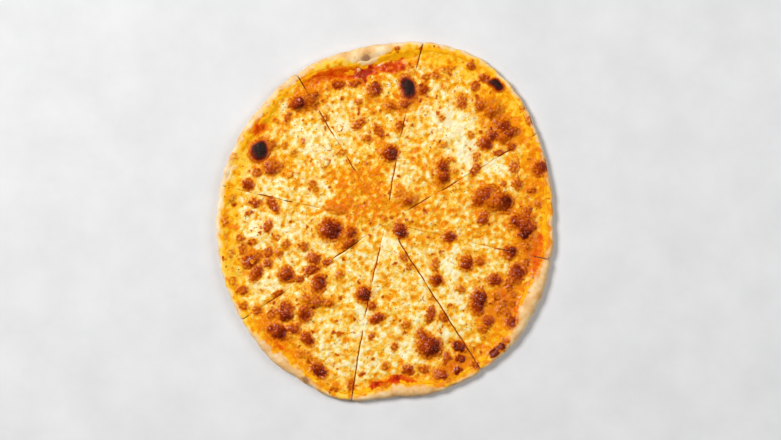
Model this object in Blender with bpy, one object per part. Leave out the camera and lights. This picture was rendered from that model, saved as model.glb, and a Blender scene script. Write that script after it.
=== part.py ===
"""Margherita pizza on a thin, hand-stretched base, cut into eight slices.

The slices lie where they were cut, so together they keep the pizza's round,
slightly egg-shaped outline. Each slice is three pieces that run through to its
cut sides: the dough with its low, uneven rim, the tomato sauce spread on it,
and the melted cheese on top.

The origin is under the middle of the pizza, on the surface it lies on, and +Z
is up. The sizes and the functions work in millimetres, and MM turns them into
metres where a mesh is made. Directions are degrees, counter-clockwise from +X
as seen from above. The radii are measured from the point where the cuts meet.
"""

import math

import bmesh
import bpy
from mathutils import Vector

MM = 0.001                    # metres in a millimetre
GAP = 0.3                     # clearance between two pieces that lie on each other
KNIFE_GAP = 0.8               # width of a cut between two slices

# The eight cuts run out from here. Each is (direction at the rim, swing): the
# swing is how many degrees further round the cut points at its inner end.
CUTS_MEET = (1.2, -0.5)
CUTS = (
    (30.3, -1.5),
    (78.6, 3.5),
    (121.3, 0.0),
    (167.6, 1.5),
    (214.3, 1.0),
    (258.8, -3.0),
    (302.6, 0.0),
    (346.9, -1.5),
)

# Uneven sizes are a base value plus smooth bulges round the pizza. Each bulge
# is (direction of its middle, half width in degrees, height in millimetres).
OUTER_RADIUS = 164.0
OUTER_BULGES = (
    (0, 13, -2.5),
    (36, 10, 2.0),
    (55, 20, 16.0),
    (78, 16, 9.0),
    (102, 16, 4.0),
    (122, 12, 3.0),
    (208, 16, 3.0),
    (234, 18, 9.5),
    (256, 12, 11.5),
    (285, 16, 7.5),
    (314, 20, 6.5),
)

# Bare dough from the outer edge in to the sauce.
BARE_WIDTH = 4.5
BARE_BULGES = (
    (101, 16, 8.5),
    (140, 14, 3.5),
    (232, 14, 5.5),
    (276, 14, 6.5),
    (328, 17, 8.5),
)

# Sauce that shows between the bare dough and the cheese.
SAUCE_SHOWS = 2.0
SAUCE_BULGES = (
    (103, 13, 9.0),
    (83, 6, 7.0),
    (144, 5, 5.0),
    (231, 6, 5.0),
    (272, 9, 6.5),
    (326, 6, 3.0),
    (349, 10, 7.0),
)

# Dough: flat in the middle, with a low rounded rim.
DOUGH_THICKNESS = 4.0
RIM_HEIGHT = 8.5
RIM_HEIGHT_BULGES = (
    (60, 20, 0.8),
    (101, 18, 2.6),
    (140, 16, 1.2),
    (190, 14, 0.6),
    (232, 18, 1.8),
    (276, 14, 2.2),
    (328, 18, 2.6),
)
RIM_CREST_SHARE = 0.55        # the rim's top lies this far across the bare dough
RIM_SLOPE = 13.0              # from the edge of the sauce in to the flat dough
RIM_SIDE_HEIGHT = 4.2         # height of the rim's outermost line
RIM_FOOT = 3.0                # the underside turns up over this width

# Toppings.
SAUCE_THICKNESS = 0.9
SAUCE_EDGE_THICKNESS = 0.5
CHEESE_THICKNESS = 2.3
CHEESE_EDGE_THICKNESS = 0.8
EDGE_FADE = 9.0               # a topping thins out over this width
# Gentle waves in the melted cheese: (direction, wavelength, height).
CHEESE_WAVES = (
    (15, 61, 0.30),
    (78, 47, 0.25),
    (139, 39, 0.20),
)

# Fineness of the solids.
STEPS_ACROSS = 12
ROW_SHARES = (0.1, 0.24, 0.4, 0.56, 0.71, 0.83, 0.91, 0.96, 1.0)
UPPER_EDGE_ANGLES = (50, 25, 0)
LOWER_EDGE_ANGLES = (45, 90)

# Colours are linear; each material is (red, green, blue, roughness).
DOUGH_LOOK = (0.72, 0.50, 0.26, 0.75)
SAUCE_LOOK = (0.60, 0.09, 0.015, 0.35)
CHEESE_LOOK = (0.88, 0.60, 0.17, 0.38)


def bulges(direction, table):
    """Sum of the smooth bulges of a table in this direction."""
    total = 0.0
    for middle, half_width, height in table:
        away = (direction - middle + 180.0) % 360.0 - 180.0
        total += height * math.exp(-((away / half_width) ** 2))
    return total


def outer_radius(direction):
    return OUTER_RADIUS + bulges(direction, OUTER_BULGES)


def sauce_inset(direction):
    """Distance from the outer edge in to the edge of the sauce."""
    return BARE_WIDTH + bulges(direction, BARE_BULGES)


def cheese_inset(direction):
    """Distance from the outer edge in to the edge of the cheese."""
    return sauce_inset(direction) + SAUCE_SHOWS + bulges(direction, SAUCE_BULGES)


def crest_inset(direction):
    """Distance from the outer edge in to the top of the rim."""
    return RIM_CREST_SHARE * sauce_inset(direction)


def rim_height(direction):
    return RIM_HEIGHT + bulges(direction, RIM_HEIGHT_BULGES)


def dough_top(direction, inset):
    """Height of the dough, from the flat middle up the inner slope of the rim."""
    crest = crest_inset(direction)
    foot = sauce_inset(direction) + RIM_SLOPE
    if inset >= foot:
        return DOUGH_THICKNESS
    fall = max(0.0, inset - crest) / (foot - crest)
    rise = 0.5 + 0.5 * math.cos(math.pi * fall)
    return DOUGH_THICKNESS + (rim_height(direction) - DOUGH_THICKNESS) * rise


def thinned(thickness, edge_thickness, distance_to_edge):
    """Thickness of a topping that thins out smoothly towards its outer edge."""
    share = min(1.0, max(0.0, distance_to_edge / EDGE_FADE))
    return edge_thickness + (thickness - edge_thickness) * math.sin(0.5 * math.pi * share)


def sauce_top(direction, inset):
    reach = inset - sauce_inset(direction)
    layer = thinned(SAUCE_THICKNESS, SAUCE_EDGE_THICKNESS, reach)
    return dough_top(direction, inset) + GAP + layer


def cheese_top(direction, inset, place):
    """Top of the cheese, with gentle waves that fade out towards its edge."""
    reach = inset - cheese_inset(direction)
    layer = thinned(CHEESE_THICKNESS, CHEESE_EDGE_THICKNESS, reach)
    waves = 0.0
    for heading, wavelength, height in CHEESE_WAVES:
        along = math.radians(heading)
        distance = place.x * math.cos(along) + place.y * math.sin(along)
        waves += height * math.sin(2.0 * math.pi * distance / wavelength)
    fade = min(1.0, max(0.0, reach / EDGE_FADE))
    return sauce_top(direction, inset) + GAP + layer + waves * fade


class Slice:
    """Where the points of one slice lie, seen from above."""

    def __init__(self, number):
        self.first, self.first_swing = CUTS[number]
        self.last, self.last_swing = CUTS[(number + 1) % len(CUTS)]
        if self.last < self.first:
            self.last += 360.0
        half_span = 0.5 * (self.last + self.last_swing - self.first - self.first_swing)
        self.tip = 0.5 * KNIFE_GAP / math.sin(math.radians(half_span))

    def rim_direction(self, share):
        """Direction at the rim, for a share from 0 at the first cut to 1 at the last."""
        return self.first + (self.last - self.first) * share

    def point(self, share, radius, height):
        """The point this share of the way across the slice at a radius and height."""
        bend = 1.0 - radius / OUTER_RADIUS
        trim = math.degrees(math.asin(min(1.0, 0.5 * KNIFE_GAP / radius)))
        low = self.first + self.first_swing * bend + trim
        high = self.last + self.last_swing * bend - trim
        angle = math.radians(low + (high - low) * share)
        return Vector((radius * math.cos(angle), radius * math.sin(angle), height))

    def tip_point(self, height):
        return self.point(0.5, self.tip * 1.0001, height)


def shares():
    return [step / STEPS_ACROSS for step in range(STEPS_ACROSS + 1)]


def layer_rows(piece, insets, height_at):
    """Rows of points from the tip outwards: first to the edge of the cheese, then
    at each of the insets. height_at(direction, inset, place) gives the heights."""
    rows = []
    for row_share in ROW_SHARES:
        row = []
        for share in shares():
            direction = piece.rim_direction(share)
            edge = outer_radius(direction) - cheese_inset(direction)
            radius = piece.tip + (edge - piece.tip) * row_share
            place = piece.point(share, radius, 0.0)
            place.z = height_at(direction, outer_radius(direction) - radius, place)
            row.append(place)
        rows.append(row)
    for inset_at in insets:
        row = []
        for share in shares():
            direction = piece.rim_direction(share)
            inset = inset_at(direction)
            place = piece.point(share, outer_radius(direction) - inset, 0.0)
            place.z = height_at(direction, inset, place)
            row.append(place)
        rows.append(row)
    return rows


def rim_rows(piece):
    """Rows round the outside of the rim, from just below its top to the underside."""
    rows = []
    for angle in UPPER_EDGE_ANGLES:
        out = math.cos(math.radians(angle))
        up = math.sin(math.radians(angle))
        row = []
        for share in shares():
            direction = piece.rim_direction(share)
            radius = outer_radius(direction) - crest_inset(direction) * (1.0 - out)
            rise = (rim_height(direction) - RIM_SIDE_HEIGHT) * up
            row.append(piece.point(share, radius, RIM_SIDE_HEIGHT + rise))
        rows.append(row)
    for angle in LOWER_EDGE_ANGLES:
        inward = 1.0 - math.cos(math.radians(angle))
        down = math.sin(math.radians(angle))
        row = []
        for share in shares():
            radius = outer_radius(piece.rim_direction(share)) - RIM_FOOT * inward
            row.append(piece.point(share, radius, RIM_SIDE_HEIGHT * (1.0 - down)))
        rows.append(row)
    return rows


def skin(bm, tip, rows):
    """Faces of a wedge-shaped surface, a fan at the tip and quads further out."""
    faces = []
    for near, far in zip(rows[0], rows[0][1:]):
        faces.append(bm.faces.new((tip, near, far)))
    for inner, outer in zip(rows, rows[1:]):
        for step in range(STEPS_ACROSS):
            corners = (inner[step], outer[step], outer[step + 1], inner[step + 1])
            faces.append(bm.faces.new(corners))
    return faces


def closed_slice(name, tops, bottoms, edge_rows, tip_top, tip_bottom):
    """Mesh closed all round: top, bottom, outer edge and the two cut sides.

    tops and bottoms hold the same rows, one above the other. edge_rows run round
    the outer edge from the last top row; without them that edge is a plain wall.
    """
    bm = bmesh.new()

    def add(row):
        return [bm.verts.new(place * MM) for place in row]

    top_tip = bm.verts.new(tip_top * MM)
    bottom_tip = bm.verts.new(tip_bottom * MM)
    top = [add(row) for row in tops]
    bottom = [add(row) for row in bottoms]
    edge = [add(row) for row in edge_rows]

    skin(bm, top_tip, top)
    underside = skin(bm, bottom_tip, bottom)
    around = [top[-1]] + edge + [bottom[-1]]
    for upper, lower in zip(around, around[1:]):
        for step in range(STEPS_ACROSS):
            bm.faces.new((upper[step], lower[step], lower[step + 1], upper[step + 1]))
    for side in (0, STEPS_ACROSS):
        bm.faces.new((top_tip, top[0][side], bottom[0][side], bottom_tip))
        for row in range(len(top) - 1):
            bm.faces.new((top[row][side], top[row + 1][side], bottom[row + 1][side], bottom[row][side]))
        if edge:
            bm.faces.new([row[side] for row in around])
    if edge:
        bmesh.ops.dissolve_faces(bm, faces=underside)
    bmesh.ops.recalc_face_normals(bm, faces=bm.faces)
    mesh = bpy.data.meshes.new(name)
    bm.to_mesh(mesh)
    bm.free()
    mesh.shade_smooth()
    mesh.set_sharp_from_angle(angle=math.radians(40))
    return mesh


def dough_mesh(name, piece):
    """Dough with a flat underside and a rounded rim."""
    def flat(direction, inset, place):
        return 0.0

    def top(direction, inset, place):
        return dough_top(direction, inset)

    insets = (sauce_inset, crest_inset)
    return closed_slice(
        name,
        layer_rows(piece, insets, top),
        layer_rows(piece, insets, flat),
        rim_rows(piece),
        piece.tip_point(DOUGH_THICKNESS),
        piece.tip_point(0.0),
    )


def sauce_mesh(name, piece):
    """Thin sauce that follows the dough out to the bare rim."""
    def bottom(direction, inset, place):
        return dough_top(direction, inset) + GAP

    def top(direction, inset, place):
        return sauce_top(direction, inset)

    insets = (sauce_inset,)
    low = DOUGH_THICKNESS + GAP
    return closed_slice(
        name,
        layer_rows(piece, insets, top),
        layer_rows(piece, insets, bottom),
        (),
        piece.tip_point(low + SAUCE_THICKNESS),
        piece.tip_point(low),
    )


def cheese_mesh(name, piece):
    """Melted cheese with a wavy top, thinner towards its edge."""
    def bottom(direction, inset, place):
        return sauce_top(direction, inset) + GAP

    low = DOUGH_THICKNESS + GAP + SAUCE_THICKNESS + GAP
    return closed_slice(
        name,
        layer_rows(piece, (), cheese_top),
        layer_rows(piece, (), bottom),
        (),
        piece.tip_point(low + CHEESE_THICKNESS),
        piece.tip_point(low),
    )


def food_material(name, look):
    red, green, blue, roughness = look
    material = bpy.data.materials.new(name)
    material.use_nodes = True
    material.diffuse_color = (red, green, blue, 1.0)
    shader = material.node_tree.nodes["Principled BSDF"]
    shader.inputs["Base Color"].default_value = (red, green, blue, 1.0)
    shader.inputs["Roughness"].default_value = roughness
    shader.inputs["Metallic"].default_value = 0.0
    return material


def add_piece(name, mesh, material, parent):
    piece = bpy.data.objects.new(name, mesh)
    piece.data.materials.append(material)
    piece.parent = parent
    bpy.context.scene.collection.objects.link(piece)
    return piece


def build_pizza():
    dough = food_material("baked_dough", DOUGH_LOOK)
    sauce = food_material("tomato_sauce", SAUCE_LOOK)
    cheese = food_material("melted_cheese", CHEESE_LOOK)

    middle = bpy.data.objects.new("pizza_middle", None)
    middle.location = (CUTS_MEET[0] * MM, CUTS_MEET[1] * MM, 0.0)
    bpy.context.scene.collection.objects.link(middle)

    for number in range(len(CUTS)):
        piece = Slice(number)
        label = str(number + 1)
        for name, make_mesh, material in (
            ("crust_" + label, dough_mesh, dough),
            ("sauce_" + label, sauce_mesh, sauce),
            ("cheese_" + label, cheese_mesh, cheese),
        ):
            add_piece(name, make_mesh(name, piece), material, middle)


for old in list(bpy.data.objects):
    bpy.data.objects.remove(old, do_unlink=True)
build_pizza()
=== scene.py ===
"""The looks of a margherita pizza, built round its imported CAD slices.

Every CAD slice has three nodes: crust, sauce and cheese. Each is replaced by a fine
closed mesh of the same form, with relief in the mesh and colour masks at its points,
and dried herbs lie on the cheese. The masks and the relief are worked out once, as
fields on a grid over the whole pizza, so that they run on from slice to slice.

Lengths are in millimetres and directions in degrees, counter-clockwise from +X seen
from above, as in the CAD source, until MM turns them into metres in the meshes.
"""

import math

import bpy
import numpy as np
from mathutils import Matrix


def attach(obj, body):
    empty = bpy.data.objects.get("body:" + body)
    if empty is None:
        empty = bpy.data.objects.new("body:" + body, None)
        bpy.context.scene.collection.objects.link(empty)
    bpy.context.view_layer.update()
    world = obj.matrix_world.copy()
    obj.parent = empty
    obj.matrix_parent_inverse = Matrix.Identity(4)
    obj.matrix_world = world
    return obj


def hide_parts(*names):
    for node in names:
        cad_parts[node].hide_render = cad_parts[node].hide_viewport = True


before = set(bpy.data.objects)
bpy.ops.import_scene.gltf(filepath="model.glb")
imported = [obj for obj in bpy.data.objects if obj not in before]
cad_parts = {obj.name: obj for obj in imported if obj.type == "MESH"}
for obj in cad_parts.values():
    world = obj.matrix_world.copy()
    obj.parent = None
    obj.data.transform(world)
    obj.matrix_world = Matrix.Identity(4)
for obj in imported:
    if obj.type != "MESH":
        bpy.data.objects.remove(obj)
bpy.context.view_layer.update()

MM = 0.001

# ---------------------------------------------------------------- the pizza's form
# Cuts, outline, rim and layers, as in the CAD: see the names for what each one is.

KNIFE_GAP = 0.8
CUTS_MEET = (1.2, -0.5)
CUTS = (
    (30.3, -1.5), (78.6, 3.5), (121.3, 0.0), (167.6, 1.5),
    (214.3, 1.0), (258.8, -3.0), (302.6, 0.0), (346.9, -1.5),
)
OUTER_RADIUS = 164.0
OUTER_BULGES = (
    (0, 13, -2.5), (36, 10, 2.0), (55, 20, 16.0), (78, 16, 9.0), (102, 16, 4.0), (122, 12, 3.0),
    (208, 16, 3.0), (234, 18, 9.5), (256, 12, 11.5), (285, 16, 7.5), (314, 20, 6.5),
)
BARE_WIDTH = 4.5
BARE_BULGES = ((101, 16, 8.5), (140, 14, 3.5), (232, 14, 5.5), (276, 14, 6.5), (328, 17, 8.5))
SAUCE_SHOWS = 2.0
SAUCE_BULGES = (
    (103, 13, 9.0), (83, 6, 7.0), (144, 5, 5.0), (231, 6, 5.0),
    (272, 9, 6.5), (326, 6, 3.0), (349, 10, 7.0),
)
DOUGH_THICKNESS = 4.0
RIM_HEIGHT = 8.5
RIM_HEIGHT_BULGES = (
    (60, 20, 0.8), (101, 18, 2.6), (140, 16, 1.2), (190, 14, 0.6),
    (232, 18, 1.8), (276, 14, 2.2), (328, 18, 2.6),
)
RIM_CREST_SHARE = 0.55
RIM_SLOPE = 13.0
RIM_SIDE_HEIGHT = 4.2
RIM_FOOT = 3.0
SAUCE_THICKNESS = 0.9
CHEESE_THICKNESS = 2.3
EDGE_FADE = 9.0
CHEESE_WAVES = ((15, 61, 0.30), (78, 47, 0.25), (139, 39, 0.20))


def bulges(direction, table):
    """Sum of a table's smooth bulges (middle, half width in degrees, height)."""
    total = np.zeros_like(direction)
    for middle, half_width, height in table:
        away = (direction - middle + 180.0) % 360.0 - 180.0
        total += height * np.exp(-((away / half_width) ** 2))
    return total


def smooth(start, end, value):
    """0 up to start, 1 from end on, and a smooth step between them."""
    share = np.clip((value - start) / (end - start), 0.0, 1.0)
    return share * share * (3.0 - 2.0 * share)


def ripple(direction, seed, waves, amount):
    """Small uneven waves round the pizza; waves is (fewest, most) of them in a turn."""
    rng = np.random.default_rng(seed)
    total = np.zeros_like(direction)
    for count in range(waves[0], waves[1], 3):
        phase = rng.uniform(0.0, 2.0 * math.pi)
        total += rng.normal() * np.sin(np.radians(direction) * count + phase)
    return amount * total / math.sqrt(0.5 * len(range(waves[0], waves[1], 3)))


def outer_radius(direction):
    return OUTER_RADIUS + bulges(direction, OUTER_BULGES) + ripple(direction, 3, (9, 70), 0.30)


def sauce_inset(direction):
    return BARE_WIDTH + bulges(direction, BARE_BULGES)


def cheese_inset(direction):
    return sauce_inset(direction) + SAUCE_SHOWS + bulges(direction, SAUCE_BULGES)


def crest_inset(direction):
    return RIM_CREST_SHARE * sauce_inset(direction)


def rim_height(direction):
    return RIM_HEIGHT + bulges(direction, RIM_HEIGHT_BULGES)


def dough_top(direction, inset):
    """Height of the dough, from its flat middle up the inner slope of the rim."""
    crest = crest_inset(direction)
    foot = sauce_inset(direction) + RIM_SLOPE
    fall = np.clip((inset - crest) / (foot - crest), 0.0, 1.0)
    rise = 0.5 + 0.5 * np.cos(math.pi * fall)
    return DOUGH_THICKNESS + (rim_height(direction) - DOUGH_THICKNESS) * rise


def waves_at(x, y):
    """The cheese's gentle waves."""
    total = np.zeros_like(x)
    for heading, wavelength, height in CHEESE_WAVES:
        along = math.radians(heading)
        distance = (x - CUTS_MEET[0]) * math.cos(along) + (y - CUTS_MEET[1]) * math.sin(along)
        total += height * np.sin(2.0 * math.pi * distance / wavelength)
    return total


# ---------------------------------------------------------------- fields over the pizza

PITCH = 0.5
HALF_X = 172.0
HALF_Y = 184.0
GRID_X = np.arange(-HALF_X, HALF_X + 0.5 * PITCH, PITCH)
GRID_Y = np.arange(-HALF_Y, HALF_Y + 0.5 * PITCH, PITCH)
X, Y = np.meshgrid(GRID_X, GRID_Y)


def bumps(seed, size, spread=0.45):
    """Even random bumps about size millimetres across; mean 0, standard deviation 1."""
    white = np.random.default_rng(seed).standard_normal(X.shape)
    across = np.fft.rfftfreq(X.shape[1], PITCH)[None, :]
    along = np.fft.fftfreq(X.shape[0], PITCH)[:, None]
    pace = np.hypot(across, along) * 2.0 * size
    pace[0, 0] = 1e-9
    band = np.exp(-((np.log(pace) / spread) ** 2))
    field = np.fft.irfft2(np.fft.rfft2(white) * band, s=X.shape)
    return (field - field.mean()) / field.std()


def read(field, x, y):
    """A field's values at points, between its grid points."""
    across = np.clip((x + HALF_X) / PITCH, 0, X.shape[1] - 1.001)
    along = np.clip((y + HALF_Y) / PITCH, 0, X.shape[0] - 1.001)
    column = across.astype(int)
    row = along.astype(int)
    u = across - column
    v = along - row
    low = field[row, column] * (1 - u) + field[row, column + 1] * u
    high = field[row + 1, column] * (1 - u) + field[row + 1, column + 1] * u
    return low * (1 - v) + high * v


def polar(x, y):
    """Distance and direction from the point where the cuts meet."""
    across = x - CUTS_MEET[0]
    along = y - CUTS_MEET[1]
    return np.hypot(across, along), np.degrees(np.arctan2(along, across)) % 360.0


RADIUS, DIRECTION = polar(X, Y)
INSET = outer_radius(DIRECTION) - RADIUS
# Shapes are drawn on coordinates that wander a little, so that none is a neat oval:
# much for broad patches, less for red ones, little for blisters and spots.
BROAD = (
    X + 2.2 * bumps(11, 12.0) + 1.2 * bumps(12, 5.0),
    Y + 2.2 * bumps(13, 12.0) + 1.2 * bumps(14, 5.0),
)
MIDDLING = (
    X + 1.0 * bumps(61, 8.0) + 0.5 * bumps(62, 3.0),
    Y + 1.0 * bumps(63, 8.0) + 0.5 * bumps(64, 3.0),
)
CALM = (X + 0.5 * bumps(61, 8.0), Y + 0.5 * bumps(63, 8.0))
SMALL = (
    X + 0.48 * bumps(15, 5.0) + 0.26 * bumps(16, 2.2),
    Y + 0.48 * bumps(17, 5.0) + 0.26 * bumps(18, 2.2),
)


def oval(x, y, half_long, half_wide, tilt, reach, wander=SMALL):
    """Window of the grid round a tilted oval, and there the distance from its middle in
    units of its own size. reach is how many sizes out the window goes."""
    far = max(half_long, half_wide) * reach + 5.0
    columns = slice(*np.searchsorted(GRID_X, (x - far, x + far)))
    rows = slice(*np.searchsorted(GRID_Y, (y - far, y + far)))
    window = (rows, columns)
    turn = math.radians(tilt)
    across = wander[0][window] - x
    along = wander[1][window] - y
    u = (across * math.cos(turn) + along * math.sin(turn)) / half_long
    v = (along * math.cos(turn) - across * math.sin(turn)) / half_wide
    return window, np.hypot(u, v)


def patches(table, wander=BROAD):
    """Sum of soft ovals (x, y, half length, half width, tilt, amount)."""
    field = np.zeros_like(X)
    for x, y, half_long, half_wide, tilt, amount in table:
        window, distance = oval(x, y, half_long, half_wide, tilt, 1.5, wander)
        field[window] += amount * (1.0 - smooth(0.25, 1.45, distance))
    return field


def scatter(seed, spacing, tries):
    """Random places over the pizza, none closer to another than spacing."""
    rng = np.random.default_rng(seed)
    cells = {}
    kept = []
    for x, y in rng.uniform((-HALF_X, -HALF_Y), (HALF_X, HALF_Y), (tries, 2)):
        column = int(x // spacing)
        row = int(y // spacing)
        near = [
            place
            for i in (column - 1, column, column + 1)
            for j in (row - 1, row, row + 1)
            for place in cells.get((i, j), ())
        ]
        if all(math.hypot(x - a, y - b) >= spacing for a, b in near):
            cells.setdefault((column, row), []).append((x, y))
            kept.append((x, y))
    return kept


# Cheese tone: 0 is white curd, 0.5 yellow, 1 deep orange where oil and sauce come up.
TONE = 0.40
TONE_PATCHES = (
    # oilier, more orange cheese
    (-26, 30, 42, 27, -35, 0.44), (-5, 62, 30, 12, 78, 0.24), (50, 2, 40, 24, 10, 0.24),
    (-4, 6, 20, 12, 0, 0.20), (70, 35, 26, 14, 20, 0.20),
    (98, -10, 24, 16, 0, 0.18), (103, 22, 17, 15, 0, 0.30), (112, 98, 24, 15, -50, 0.42),
    (115, -76, 20, 17, -60, 0.42), (128, 4, 14, 24, 0, 0.30), (76, -134, 34, 13, 28, 0.38),
    (-102, 58, 14, 20, 0, 0.26), (-117, -98, 18, 16, -40, 0.32), (-88, -120, 26, 9, -36, 0.30),
    (4, 112, 26, 15, -10, 0.36), (-45, 12, 16, 7, -15, 0.26), (-72, 118, 16, 12, 0, 0.30),
    (-58, -80, 16, 8, 0, 0.14), (-127, -36, 14, 18, 0, 0.14), (8, -75, 12, 22, -20, 0.10),
    (20, 22, 18, 14, 0, 0.24), (44, 38, 12, 14, 0, 0.20), (60, 140, 34, 7, -25, 0.22),
    (-152, -18, 6, 8, 0, 0.26), (-150, 32, 7, 9, 0, 0.24), (145, 55, 9, 16, 0, 0.30),
    (-145, -62, 7, 8, 0, 0.20), (-20, 45, 26, 18, -40, 0.10), (-52, 30, 14, 16, 0, 0.12),
    # yellower border
    (-150, -42, 8, 14, 0, -0.28), (-143, 62, 10, 14, 20, -0.34), (-98, 109, 14, 8, 45, -0.45),
    (150, 0, 7, 14, 0, -0.40), (80, 140, 10, 6, -20, -0.30), (120, 108, 12, 10, -50, -0.28),
    (-125, -98, 10, 7, -45, -0.20), (-48, 153, 26, 6, 8, -0.50), (30, 62, 8, 10, 0, 0.16),
    (30, 60, 12, 14, 0, 0.20), (44, 70, 8, 10, 0, 0.14), (92, -92, 12, 10, 0, 0.20),
    (-150, 2, 6, 8, 0, 0.24), (-12, -118, 12, 10, 0, 0.16), (5, -60, 10, 20, 8, 0.10),
    (-152, -8, 7, 12, 0, 0.26), (120, -30, 10, 12, 0, 0.18), (-30, -120, 12, 12, 0, 0.16),
    (-60, -148, 14, 8, -30, 0.20), (60, -150, 14, 6, 15, 0.20),
    # yellower than round about
    (-60, 32, 14, 12, 0, -0.44), (-34, 62, 12, 10, 0, -0.16), (70, 0, 12, 12, 0, -0.12),
    (-60, 60, 14, 12, 0, 0.02), (120, 30, 10, 10, 0, -0.14), (0, -120, 10, 12, 0, -0.14),
    (-152, 2, 7, 10, 0, 0.40), (150, 60, 9, 12, 0, 0.50), (152, -28, 7, 12, 0, 0.50),
    (122, -90, 9, 12, -40, 0.22), (32, 122, 12, 10, 0, 0.40), (0, 90, 9, 9, 0, 0.24),
    (30, 62, 9, 9, 0, 0.16), (-90, 30, 10, 9, 0, 0.20), (-30, -2, 10, 8, 0, 0.20),
    (148, -30, 8, 12, 0, 0.22), (92, -34, 10, 9, 0, 0.16), (-120, -28, 9, 9, 0, 0.12),
    (-30, -92, 10, 10, 0, 0.16), (-60, -150, 10, 6, -20, 0.14), (120, 60, 8, 8, 0, 0.14),
    (-120, -122, 8, 6, -45, -0.20), (-92, -92, 8, 8, 0, -0.10),
    # (4, 158) is made paler to lift the shade on the rim's inner slope there: painted light.
    (4, 158, 18, 6, 5, -0.40), (88, -150, 10, 5, 35, 0.20), (130, -84, 8, 8, 0, 0.26),
    (151, -24, 7, 10, 0, 0.16), (50, -157, 10, 5, 0, 0.16), (-151, -4, 7, 14, 0, 0.16),
    (138, -31, 8, 9, 0, 0.22), (140, 30, 7, 9, 0, 0.22), (111, -106, 9, 8, 45, 0.24),
    (-90, -128, 9, 6, -40, 0.20), (76, 141, 9, 6, -25, -0.36), (-148, -46, 7, 9, 0, -0.12),
    # whiter curd
    (60, 98, 24, 13, -15, -0.40), (77, 66, 15, 21, 20, -0.50), (60, 28, 12, 10, 0, -0.10),
    (-64, 72, 26, 9, -42, -0.42), (-50, 92, 20, 14, 0, -0.20), (-88, 82, 18, 12, 0, -0.12),
    (-120, -6, 18, 10, 10, -0.36), (-114, -60, 15, 12, 0, -0.34), (61, -42, 9, 15, 10, -0.36),
    (-18, -98, 14, 26, 10, -0.24), (70, -76, 14, 9, -60, -0.32), (24, -124, 17, 12, 0, -0.30),
    (104, 50, 15, 7, 20, -0.34), (116, 24, 9, 7, 0, -0.26), (8, -35, 7, 40, 8, -0.24),
    (-70, -28, 22, 12, 20, -0.16), (22, 52, 10, 14, -10, -0.28), (-100, 33, 18, 7, -15, -0.24),
    (-86, -12, 18, 12, 0, -0.14), (30, -98, 14, 9, 0, -0.10), (-60, -122, 22, 16, 0, -0.16),
    (-25, -140, 20, 12, 0, -0.20), (57, -112, 8, 8, 0, -0.34), (2, 95, 8, 10, 0, -0.22),
)
# The cheese is oilier towards the rim: how much, and by how much more here and there.
RING_TONE = 0.10
RING_BULGES = (
    (350, 26, 0.25), (322, 12, 0.18), (20, 20, 0.14), (143, 14, 0.10), (230, 16, 0.08),
    (185, 34, -0.30), (70, 18, -0.14), (315, 6, -0.16),
)
# Width of the smooth, oily yellow border, in from the outer edge: base and bulges.
FILM_WIDTH = 9.0
FILM_BULGES = (
    (184, 24, 13.0), (70, 16, 15.0), (47, 12, 16.0), (30, 14, 12.0), (103, 16, 9.0), (143, 12, 12.0),
    (232, 14, 9.0), (276, 12, 6.0), (318, 10, 14.0), (0, 16, 6.0), (160, 10, 6.0),
)
FILM_PATCHES = (
    (112, 108, 18, 10, -50, 0.7), (108, -112, 14, 8, 35, 0.8), (-95, 100, 16, 7, 50, 0.5),
    (140, 52, 11, 20, 5, 0.8), (-128, -62, 8, 14, 10, 0.3), (60, -146, 26, 7, 18, 0.5), (-108, -116, 18, 7, -42, 0.6),
)
# Bare dough before the yellow begins.
PALE_WIDTH = 3.3
PALE_BULGES = (
    (97, 7, 14.0), (122, 5, 3.5), (140, 12, 1.5), (178, 8, 1.2), (200, 10, -2.6), (217, 6, -2.4),
    (234, 12, 6.5), (252, 12, -2.0), (276, 11, 7.5), (292, 7, -2.5), (331, 15, 10.5), (311, 6, -2.5),
    (5, 24, -2.0), (60, 20, -1.0),
)
# Spots where bare dough shows further in.
PALE_PATCHES = ((-152, 46, 6, 8, 0, 0.8), (-146, 52, 5, 4, 0, 0.4), (70, -154, 10, 3, 15, 0.3))
# How tanned the bare dough is, round the rim.
BAKED_BULGES = (
    (330, 30, 0.50), (285, 24, 0.60), (240, 24, 0.65), (10, 24, 0.45), (55, 24, 0.35),
    (195, 20, 0.25), (108, 24, 0.50), (150, 22, 0.40),
)
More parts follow.
